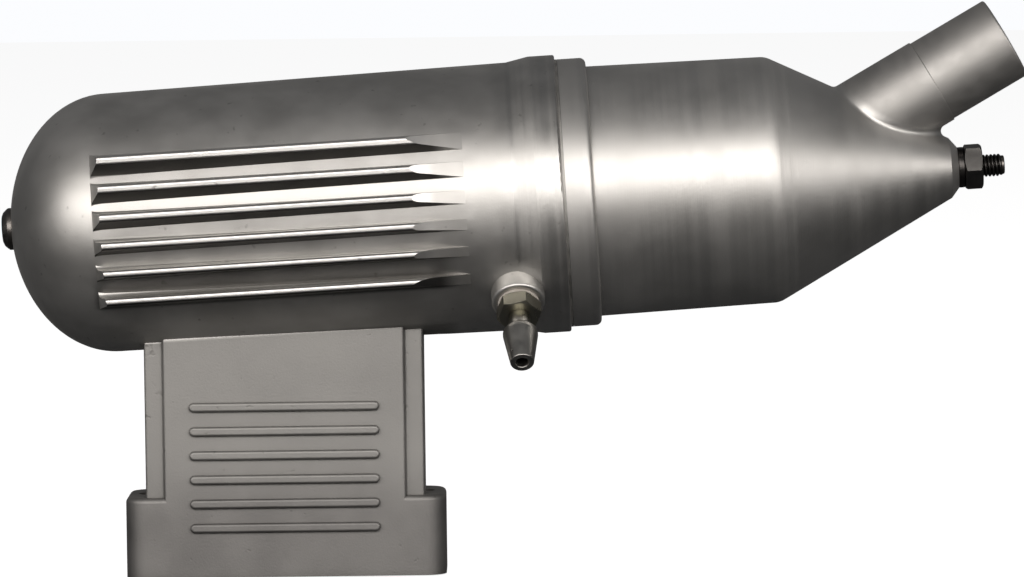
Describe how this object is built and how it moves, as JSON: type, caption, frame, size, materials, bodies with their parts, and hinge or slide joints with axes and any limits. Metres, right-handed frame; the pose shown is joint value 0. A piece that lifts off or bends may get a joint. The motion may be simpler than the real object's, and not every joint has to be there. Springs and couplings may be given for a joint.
{
  "type": "model engine muffler",
  "caption": "Finned cast aluminium muffler with a flanged inlet neck, a swivelling tail cone with an angled outlet pipe, a through bolt and a barbed pressure nipple.",
  "frame": {"origin": "centre of the exhaust flange's seating face, midway between its two screw holes", "axes": "+X along the flange towards the tail, +Y to the back, away from the pressure nipple, +Z from the flange towards the chamber"},
  "size_m": [0.1366, 0.0432, 0.0749],
  "materials": {
    "cast_aluminium": "fine blasted casting, satin",
    "turned_aluminium": "satin with faint turning marks",
    "pressed_aluminium": "pressed sheet, dulled by exhaust",
    "gasket": "soft aluminium ring, dull",
    "seal": "pale fibre seal",
    "nickel_brass": "thin nickel over turned brass",
    "zinc_steel": "zinc plated",
    "bolt_steel": "plain steel, dark thread",
    "black_steel": "blackened steel"
  },
  "bodies": {
    "front": {"front_housing": "cast_aluminium", "baffle_cone": "pressed_aluminium", "joint_gasket": "gasket", "nipple_seal": "seal", "pressure_nipple": "nickel_brass", "head_washer": "zinc_steel"},
    "tail": {"tail_housing": "turned_aluminium"},
    "bolt": {"through_bolt": "bolt_steel"},
    "nut": {"tail_nut": "black_steel", "tail_washer": "black_steel"}
  },
  "joints": [
    {"name": "tail_swivel", "type": "hinge", "parent": "front", "child": "tail", "pos_m": [0.0373, 0, 0.0501], "axis": [0.9986, 0, 0.0523], "continuous": true},
    {"name": "bolt_turn", "type": "hinge", "parent": "front", "child": "bolt", "pos_m": [0.0373, 0, 0.0501], "axis": [0.9986, 0, 0.0523], "continuous": true},
    {"name": "nut_turn", "type": "hinge", "parent": "front", "child": "nut", "pos_m": [0.0373, 0, 0.0501], "axis": [0.9986, 0, 0.0523], "continuous": true}
  ]
}
